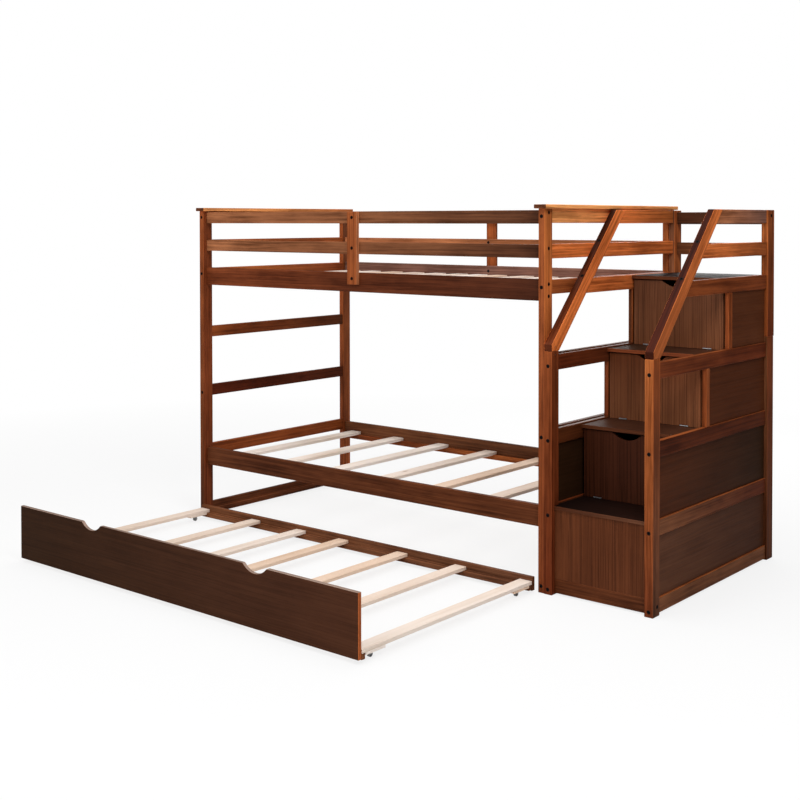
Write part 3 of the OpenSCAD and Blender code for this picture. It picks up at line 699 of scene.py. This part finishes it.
SLATS = {
    "upper_slats": faces(("birch", "pine", "maple", "ash", "birch") * 3),
    "lower_slats": faces(("pine", "pine", "pine", "birch", "maple", "ash", "pine")),
    "trundle_slats": faces(("ash", "ash", "birch", "maple", "maple", "ash", "birch")),
    "castor_blocks": faces(("birch", "birch", "pine", "maple")),
}
RISER = {
    "riser_1": (faces("sienna"), "z"),
}
DOORS = {
    # The darker tone of door_2 is painted shade
    "door_2": (faces("espresso"), "z"),
    "door_3": (faces("russet>sienna"), "z"),
    "door_4": (faces("russet>auburn"), "z"),
}


class BedPosts(bpy.types.Operator):
    """Rounds and stains the four posts of the bed"""
    bl_idname = "bunk.bed_posts"
    bl_label = "Bed Posts"

    def execute(self, context):
        dress_group(BED_POSTS, "stained wood", context.scene.bed_wood.rounding)
        return {"FINISHED"}


class EndBoards(bpy.types.Operator):
    """Rounds and stains the rungs, guard boards and caps of the two end frames"""
    bl_idname = "bunk.end_boards"
    bl_label = "End Frame Boards"

    def execute(self, context):
        dress_group(END_BOARDS, "stained wood", context.scene.bed_wood.rounding)
        return {"FINISHED"}


class LongBoards(bpy.types.Operator):
    """Rounds and stains the side rails, long guard boards, ledgers and braces"""
    bl_idname = "bunk.long_boards"
    bl_label = "Long Boards"

    def execute(self, context):
        dress_group(LONG_BOARDS, "stained wood", context.scene.bed_wood.rounding)
        return {"FINISHED"}


class BunkSlats(bpy.types.Operator):
    """Rounds the slats of both bunks and leaves them bare pine"""
    bl_idname = "bunk.slats"
    bl_label = "Bunk Slats"

    def execute(self, context):
        for node in ("upper_slats", "lower_slats"):
            dress(node, SLATS[node], finish_named("bare pine"), context.scene.bed_wood.rounding)
        return {"FINISHED"}


class StairFrame(bpy.types.Operator):
    """Rounds and stains the posts, rails and guards of the stairs"""
    bl_idname = "bunk.stair_frame"
    bl_label = "Stair Frame"

    def execute(self, context):
        dress_group(STAIR_FRAME, "stained wood", context.scene.bed_wood.rounding)
        return {"FINISHED"}


class StairPanels(bpy.types.Operator):
    """Rounds and stains the treads, the riser and the thin panels of the stairs"""
    bl_idname = "bunk.stair_panels"
    bl_label = "Stair Panels"

    def execute(self, context):
        dress_group(STAIR_PANELS, "stained panel", context.scene.bed_wood.panel_rounding)
        dress_group(RISER, "stained door", context.scene.bed_wood.panel_rounding)
        dress_group(TREADS, "stained tread", context.scene.bed_wood.panel_rounding)
        return {"FINISHED"}


class Handrails(bpy.types.Operator):
    """Rounds and stains the two sloping handrails"""
    bl_idname = "bunk.handrails"
    bl_label = "Handrails"

    def execute(self, context):
        dress_group(HANDRAILS, "stained wood", context.scene.bed_wood.rounding)
        return {"FINISHED"}


SHORTEST_CURVED = 1 * MM
CUT_OUT_ZONE = 40 * MM
HINGE_ZONE = 8 * MM


class StorageDoors(bpy.types.Operator):
    """Rounds and stains the three drop-front doors, with their finger cut-outs"""
    bl_idname = "bunk.storage_doors"
    bl_label = "Storage Doors"

    def execute(self, context):
        for node, (tones, grain) in DOORS.items():
            low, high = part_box(node)
            top = high.z - CUT_OUT_ZONE
            bottom = low.z + HINGE_ZONE

            def keep(edge):
                middle = (edge.verts[0].co.z + edge.verts[1].co.z) / 2
                return middle > top or (middle > bottom and edge.calc_length() > SHORTEST_ROUNDED)

            dress(node, tones, finish_named("stained door"), context.scene.bed_wood.panel_rounding, grain,
                  SHORTEST_CURVED, keep, merge=CURVE_MERGE)
        return {"FINISHED"}


class Trundle(bpy.types.Operator):
    """Rounds and stains the trundle's panel, rails, slats and castor blocks"""
    bl_idname = "bunk.trundle"
    bl_label = "Trundle"

    def execute(self, context):
        wood = context.scene.bed_wood
        tones, grain = TRUNDLE_BOARDS["trundle_panel"]
        dress("trundle_panel", tones, finish_named("stained panel"), wood.front_rounding, grain,
              SHORTEST_CURVED, merge=CURVE_MERGE)
        tones, grain = TRUNDLE_BOARDS["trundle_rails"]
        dress("trundle_rails", tones, finish_named("stained wood"), wood.rounding, grain)
        for node in ("trundle_slats", "castor_blocks"):
            dress(node, SLATS[node], finish_named("bare pine"), wood.panel_rounding)
        return {"FINISHED"}


FITTING_ROUNDING = 0.4 * MM
TYRE_ROUNDING = 0.6 * MM
LEAF_ROUNDING = 0.15 * MM


class Castors(bpy.types.Operator):
    """Rounds the castor bodies and wheels"""
    bl_idname = "bunk.castors"
    bl_label = "Castors"

    def execute(self, context):
        plastic = finish_named("castor plastic")
        dress("castor_mounts", None, plastic, FITTING_ROUNDING, smallest=3 * MM, suffix="_body")
        for corner in ("front_left", "front_right", "rear_left", "rear_right"):
            dress("wheel_" + corner, None, plastic, TYRE_ROUNDING, smallest=1.2 * MM, suffix="_tyre")
        return {"FINISHED"}


class Hinges(bpy.types.Operator):
    """Finishes the hinge leaves and the small angles of the trundle"""
    bl_idname = "bunk.hinges"
    bl_label = "Hinges And Angles"

    def execute(self, context):
        steel = finish_named("steel")
        for node in ("hinge_fixed_leaves", "door_2_leaves", "door_3_leaves", "door_4_leaves"):
            dress(node, None, steel, LEAF_ROUNDING, smallest=5 * MM, suffix="_metal")
        dress("trundle_brackets", None, steel, FITTING_ROUNDING, smallest=5 * MM, suffix="_metal")
        return {"FINISHED"}


# Round pieces modelled around the Z axis

def cylinder(vertices, radius, depth, middle):
    """Starts a cylinder and leaves it in edit mode, where faces are picked."""
    deselect()
    bpy.ops.mesh.primitive_cylinder_add(vertices=vertices, radius=radius, depth=depth,
                                        location=(0, 0, middle))
    bpy.ops.object.transform_apply(location=True, rotation=True, scale=True)
    bpy.ops.object.mode_set(mode="EDIT")
    bpy.ops.mesh.select_mode(type="FACE")
    return bpy.context.object


def pick_end(obj, side):
    """Selects the upper end face, with side 1, or the lower one, with side -1."""
    bpy.ops.mesh.select_all(action="DESELECT")
    bm = bmesh.from_edit_mesh(obj.data)
    for f in bm.faces:
        f.select = f.normal.z * side > 0.9
    bmesh.update_edit_mesh(obj.data)


def reshape(obj, radius_at):
    """Moves the selected points to the radius that a function gives for their angle."""
    bm = bmesh.from_edit_mesh(obj.data)
    for v in bm.verts:
        if v.select:
            turn = math.atan2(v.co.y, v.co.x)
            v.co.x = radius_at(turn) * math.cos(turn)
            v.co.y = radius_at(turn) * math.sin(turn)
    bmesh.update_edit_mesh(obj.data)


def sink(depth):
    """Pulls new walls down from the selected face."""
    bpy.ops.mesh.extrude_region_move(TRANSFORM_OT_translate={"value": (0, 0, -depth)})


# Bolts

HEAD_HEIGHT = 3.8 * MM
SHANK_RADIUS = 3 * MM
HEAD_LIFT = 0.4 * MM
RIM_WIDTH = 0.5 * MM
RIM_DROP = 0.35 * MM
SLACK = 0.01 * MM
END_PLANE = 0.05 * MM


def end_points(points, direction):
    """Counts the points that lie in the two end planes across a direction."""
    reach = [p.dot(direction) for p in points]
    low, high = min(reach), max(reach)
    return sum(min(r - low, high - r) < END_PLANE for r in reach)


def bolt_places(node):
    """Head centre, outward direction, head radius and length of every bolt in a CAD node."""
    work = frame["nodes"][node].data.copy()
    bm = bmesh.new()
    bm.from_mesh(work)
    bmesh.ops.remove_doubles(bm, verts=bm.verts, dist=SLACK)
    bm.to_mesh(work)
    bm.free()
    directions = (AXES["x"][0], AXES["y"][0], AXES["slope"][2])
    places = []
    for group in islands(work):
        co = [work.vertices[i].co for i in group]
        axis = max(directions, key=lambda direction: end_points(co, direction))
        reach = [c.dot(axis) for c in co]
        ends = []
        for sign in (1, -1):
            edge = max(sign * r for r in reach)
            ring = [c for c, r in zip(co, reach) if abs(sign * r - edge) < 10 * SLACK]
            centre = sum(ring, Vector()) / len(ring)
            radius = max((c - centre).length for c in ring)
            ends.append((radius, centre, axis * sign))
        radius, centre, outward = max(ends, key=lambda e: e[0])
        length = max(reach) - min(reach)
        places.append((centre, outward, radius, length))
    bpy.data.meshes.remove(work)
    return places


def model_bolt(radius, length):
    """One bolt along -Z under its head at the origin, with a hexagon socket and a rounded rim."""
    hardware = bpy.context.scene.bed_hardware
    bolt = cylinder(24, radius, HEAD_HEIGHT, -HEAD_HEIGHT / 2)
    pick_end(bolt, -1)
    bpy.ops.mesh.inset(thickness=radius - SHANK_RADIUS)
    sink(length - HEAD_HEIGHT)
    pick_end(bolt, 1)
    bpy.ops.mesh.inset(thickness=RIM_WIDTH)
    bpy.ops.mesh.inset(thickness=radius - hardware.socket - RIM_WIDTH)
    step = math.pi / 3
    flat = hardware.socket * math.cos(step / 2)
    reshape(bolt, lambda turn: flat / math.cos(turn % step - step / 2))
    sink(hardware.socket_depth)
    bm = bmesh.from_edit_mesh(bolt.data)
    for v in bm.verts:
        if v.co.z > -SLACK:
            v.co.z += HEAD_LIFT
            if math.hypot(v.co.x, v.co.y) > radius - 1.2 * RIM_WIDTH:
                v.co.x *= hardware.flare
                v.co.y *= hardware.flare
        if math.hypot(v.co.x, v.co.y) > radius * hardware.flare - SLACK:
            v.co.z -= RIM_DROP
    bmesh.update_edit_mesh(bolt.data)
    bpy.ops.object.mode_set(mode="OBJECT")
    bpy.ops.object.shade_smooth_by_angle(angle=math.radians(32))
    return bolt


def join(items):
    """Joins objects to the first one and returns it."""
    deselect()
    for item in items:
        item.select_set(True)
    bpy.context.view_layer.objects.active = items[0]
    if len(items) > 1:
        bpy.ops.object.join()
    return items[0]


def set_copies(model, places, name):
    """Copies a model made at the origin to every place and joins the copies to one piece."""
    copies = []
    for centre, outward in places:
        item = model.copy()
        item.data = model.data.copy()
        turn = outward.to_track_quat("Z", "Y").to_matrix().to_4x4()
        item.data.transform(Matrix.Translation(centre) @ turn)
        bpy.context.scene.collection.objects.link(item)
        copies.append(item)
    joined = join(copies)
    joined.name = name
    joined.data.name = name
    return joined


class Bolts(bpy.types.Operator):
    """Models the socket bolts of the bed and the stairs"""
    bl_idname = "bunk.bolts"
    bl_label = "Bolts"

    def execute(self, context):
        for node in ("bed_bolts", "stair_bolts"):
            found = bolt_places(node)
            parts = []
            for length in sorted({round(place[3], 3) for place in found}):
                model = model_bolt(found[0][2], length)
                here = [place[:2] for place in found if round(place[3], 3) == length]
                parts.append(set_copies(model, here, node + "_set"))
                bpy.data.objects.remove(model)
            piece = join(parts)
            piece.name = node + "_metal"
            piece.data.name = piece.name
            finish(piece, node, finish_named("black steel"))
        return {"FINISHED"}


# Small screws

SCREW_DEPTH = 1.2 * MM
SCREW_LIFT = 0.15 * MM
POST_SCREW_HEIGHTS = (0.958, 0.928)
POST_SCREW_INSET = 23 * MM
TREAD_SCREW_SIDE = 26 * MM
TREAD_SCREW_FRONT = 12 * MM
TREAD_SCREW_BACK = 40 * MM


# Shares of the head's radius: the ring around the cross, the arms of the cross and its inner corners
SCREW_RING = 0.35
CROSS_ARMS = 0.6
CROSS_CORNERS = 0.2


def model_screw(radius):
    """A flat screw head with a cross recess, looking along +Z and standing a little over the origin."""

    def cross(turn):
        on_arm = round(turn / (math.pi / 8)) % 4 == 0
        return radius * (CROSS_ARMS if on_arm else CROSS_CORNERS)

    screw = cylinder(16, radius, SCREW_DEPTH, SCREW_LIFT - SCREW_DEPTH / 2)
    pick_end(screw, 1)
    bpy.ops.mesh.inset(thickness=SCREW_RING * radius)
    reshape(screw, cross)
    sink(SCREW_DEPTH / 2)
    bpy.ops.object.mode_set(mode="OBJECT")
    bpy.ops.object.shade_smooth_by_angle(angle=math.radians(30))
    return screw


class Screws(bpy.types.Operator):
    """Sets the small screws in the left stair post and the second tread"""
    bl_idname = "bunk.screws"
    bl_label = "Screws"

    def execute(self, context):
        screw = model_screw(context.scene.bed_hardware.screw)
        low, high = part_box("left_handrail")
        tread_low, tread_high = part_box("tread_2")
        side = AXES["x"][0]
        up = AXES["z"][0]
        places = [(Vector((high.x, low.y + POST_SCREW_INSET, z)), side) for z in POST_SCREW_HEIGHTS]
        for y in (tread_low.y + TREAD_SCREW_FRONT, tread_high.y - TREAD_SCREW_BACK):
            places.append((Vector((tread_high.x - TREAD_SCREW_SIDE, y, tread_high.z)), up))
        piece = set_copies(screw, places, "stair_screws")
        bpy.data.objects.remove(screw)
        piece.data.materials.clear()
        piece.data.materials.append(finish_named("steel"))
        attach(piece, "frame")
        return {"FINISHED"}


# Stage

FLOOR_GREY = (0.86, 0.86, 0.86, 1)
FLOOR_RADIUS = 9
FLOOR_DROP = 0.5 * MM
SHADOW_REACH = (2.2, 5.0)
ROOM_TURN = 0.35
# Where each lamp stands, what it faces, and its width and height
LAMPS = {
    "key": ((3.2, -1.8, 4.4), (0.4, 0, 0.8), (1.8, 1.8)),
    "front": ((-0.6, -5.0, 2.4), (0, 0, 0.7), (3.2, 2.4)),
    "top": ((0.2, -0.4, 4.2), (0, 0, 0), (3.4, 2.6)),
    "rear": ((-0.6, 4.2, 2.2), (-0.3, 0.3, 0.4), (3.2, 1.6)),
}
# Metres and degrees, fitted to points of the photograph
CAMERA_PLACE = (3.38101, -4.01507, 1.44657)
CAMERA_HEADING = 39.771
CAMERA_DIP = 1.137
CAMERA_ROLL = -0.061
CAMERA_SHIFT = (-0.00208, -0.19434)
SENSOR_WIDTH = 36
FOCAL_PIXELS = 1231.413
PICTURE_PIXELS = 800


def lay_floor(stage):
    """A large round floor, seen as plain white except where the shadow of the bed falls."""
    deselect()
    bpy.ops.mesh.primitive_circle_add(vertices=96, radius=FLOOR_RADIUS, fill_type="NGON",
                                      location=(0, 0, -FLOOR_DROP))
    floor = bpy.context.object
    bpy.ops.object.transform_apply(location=True, rotation=True, scale=True)
    floor.name = "studio_floor"
    n = Nodes(bpy.data.materials.new("studio floor"), "ShaderNodeOutputMaterial")
    cover = n.add("ShaderNodeBsdfDiffuse")
    cover.inputs["Color"].default_value = FLOOR_GREY
    bright = n.add("ShaderNodeEmission")
    rays = n.add("ShaderNodeLightPath").outputs
    seen = n.math("MAXIMUM", rays["Is Camera Ray"], rays["Is Glossy Ray"])
    glow = n.math("MULTIPLY_ADD", rays["Is Glossy Ray"], stage.mirrored, rays["Is Camera Ray"])
    n.join(glow, bright.inputs["Strength"])
    reach = n.add("ShaderNodeVectorMath", operation="LENGTH")
    n.join(n.add("ShaderNodeTexCoord").outputs["Object"], reach.inputs[0])
    near = n.spread(reach.outputs["Value"], *SHADOW_REACH, stage.shadow, 0.0)
    blend = n.add("ShaderNodeMixShader")
    share = n.math("MULTIPLY", seen, n.math("SUBTRACT", 1.0, near))
    n.feed(blend.inputs, (share, cover.outputs[0], bright.outputs[0]))
    n.join(blend.outputs[0], n.out.inputs["Surface"])
    floor.data.materials.append(n.owner)


def light_room(scene, stage):
    """Soft room light, dimmer from the right and in mirrored rays, and plain white for the camera."""
    n = Nodes(bpy.data.worlds.new("studio room"), "ShaderNodeOutputWorld")
    scene.world = n.owner
    rays = n.add("ShaderNodeLightPath").outputs
    side = n.add("ShaderNodeSeparateXYZ")
    n.join(n.add("ShaderNodeTexCoord").outputs["Generated"], side.inputs[0])
    room = n.spread(side.outputs["X"], -ROOM_TURN, ROOM_TURN, stage.sky, stage.sky * stage.shade)
    mirror = n.spread(rays["Is Glossy Ray"], 0.0, 1.0, 1.0, stage.mirrored)
    level = n.add("ShaderNodeMix")
    n.feed((level.inputs[0], level.inputs[2], level.inputs[3]),
           (rays["Is Camera Ray"], n.math("MULTIPLY", room, mirror), 1.0))
    back = n.add("ShaderNodeBackground")
    n.feed(back.inputs, ((1, 1, 1, 1), level.outputs[0]))
    n.join(back.outputs[0], n.out.inputs["Surface"])


def area_lamp(name, place, target, size, power):
    """Adds a flat lamp that faces its target."""
    data = bpy.data.lights.new(name, "AREA")
    data.shape = "RECTANGLE"
    data.size, data.size_y = size
    data.energy = power
    lamp = bpy.data.objects.new(name, data)
    lamp.location = place
    lamp.rotation_euler = (Vector(target) - Vector(place)).to_track_quat("-Z", "Y").to_euler()
    bpy.context.scene.collection.objects.link(lamp)


def set_camera(scene):
    """Sets the camera from which the photograph of the bed was taken."""
    lens = bpy.data.cameras.new("photo_camera")
    lens.sensor_width = SENSOR_WIDTH
    lens.lens = FOCAL_PIXELS * SENSOR_WIDTH / PICTURE_PIXELS
    lens.shift_x, lens.shift_y = CAMERA_SHIFT
    lens.clip_end = 100
    camera = bpy.data.objects.new("photo_camera", lens)
    heading = Matrix.Rotation(math.radians(CAMERA_HEADING), 4, "Z")
    tilt = Matrix.Rotation(math.radians(90 - CAMERA_DIP), 4, "X")
    roll = Matrix.Rotation(math.radians(CAMERA_ROLL), 4, "Z")
    camera.matrix_world = Matrix.Translation(CAMERA_PLACE) @ heading @ tilt @ roll
    scene.collection.objects.link(camera)
    scene.camera = camera


class Stage(bpy.types.Operator):
    """Sets the floor, the lamps, the room light and the camera"""
    bl_idname = "bunk.stage"
    bl_label = "Stage"

    def execute(self, context):
        stage = context.scene.bed_stage
        lay_floor(stage)
        light_room(context.scene, stage)
        for name, (place, target, size) in LAMPS.items():
            area_lamp(name + "_lamp", place, target, size, getattr(stage, name))
        set_camera(context.scene)
        context.scene.view_settings.view_transform = "Standard"
        return {"FINISHED"}


class BedPanel(bpy.types.Panel):
    """Lists the steps that finish the bed"""
    bl_idname = "BUNK_PT_finish"
    bl_label = "Bunk Bed"
    bl_space_type = "VIEW_3D"
    bl_region_type = "UI"
    bl_category = "Bunk Bed"

    def draw(self, context):
        layout = self.layout
        for step in STEPS:
            layout.operator(step.bl_idname)
        for group in (context.scene.bed_stains, context.scene.bed_wood, context.scene.bed_hardware,
                      context.scene.bed_stage):
            box = layout.box()
            for name in group.bl_rna.properties.keys():
                if name not in ("rna_type", "name"):
                    box.prop(group, name)


STEPS = (BedPosts, EndBoards, LongBoards, BunkSlats, StairFrame, StairPanels, Handrails, StorageDoors,
         Trundle, Castors, Hinges, Bolts, Screws, Stage)
SETTINGS = {"bed_stains": StainAndPaintedLightSettings, "bed_wood": WoodSettings, "bed_hardware": HardwareSettings,
            "bed_stage": StageSettings}


def register():
    for group in SETTINGS.values():
        bpy.utils.register_class(group)
    for name, group in SETTINGS.items():
        setattr(bpy.types.Scene, name, PointerProperty(type=group))
    for step in STEPS:
        bpy.utils.register_class(step)
    bpy.utils.register_class(BedPanel)


def unregister():
    bpy.utils.unregister_class(BedPanel)
    for step in reversed(STEPS):
        bpy.utils.unregister_class(step)
    for name in SETTINGS:
        delattr(bpy.types.Scene, name)
    for group in reversed(list(SETTINGS.values())):
        bpy.utils.unregister_class(group)


def main():
    register()
    bpy.ops.bunk.bed_posts()
    bpy.ops.bunk.end_boards()
    bpy.ops.bunk.long_boards()
    bpy.ops.bunk.slats()
    bpy.ops.bunk.stair_frame()
    bpy.ops.bunk.stair_panels()
    bpy.ops.bunk.handrails()
    bpy.ops.bunk.storage_doors()
    bpy.ops.bunk.trundle()
    bpy.ops.bunk.castors()
    bpy.ops.bunk.hinges()
    bpy.ops.bunk.bolts()
    bpy.ops.bunk.screws()
    bpy.ops.bunk.stage()
    deselect()
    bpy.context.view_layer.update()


if __name__ == "__main__":
    main()
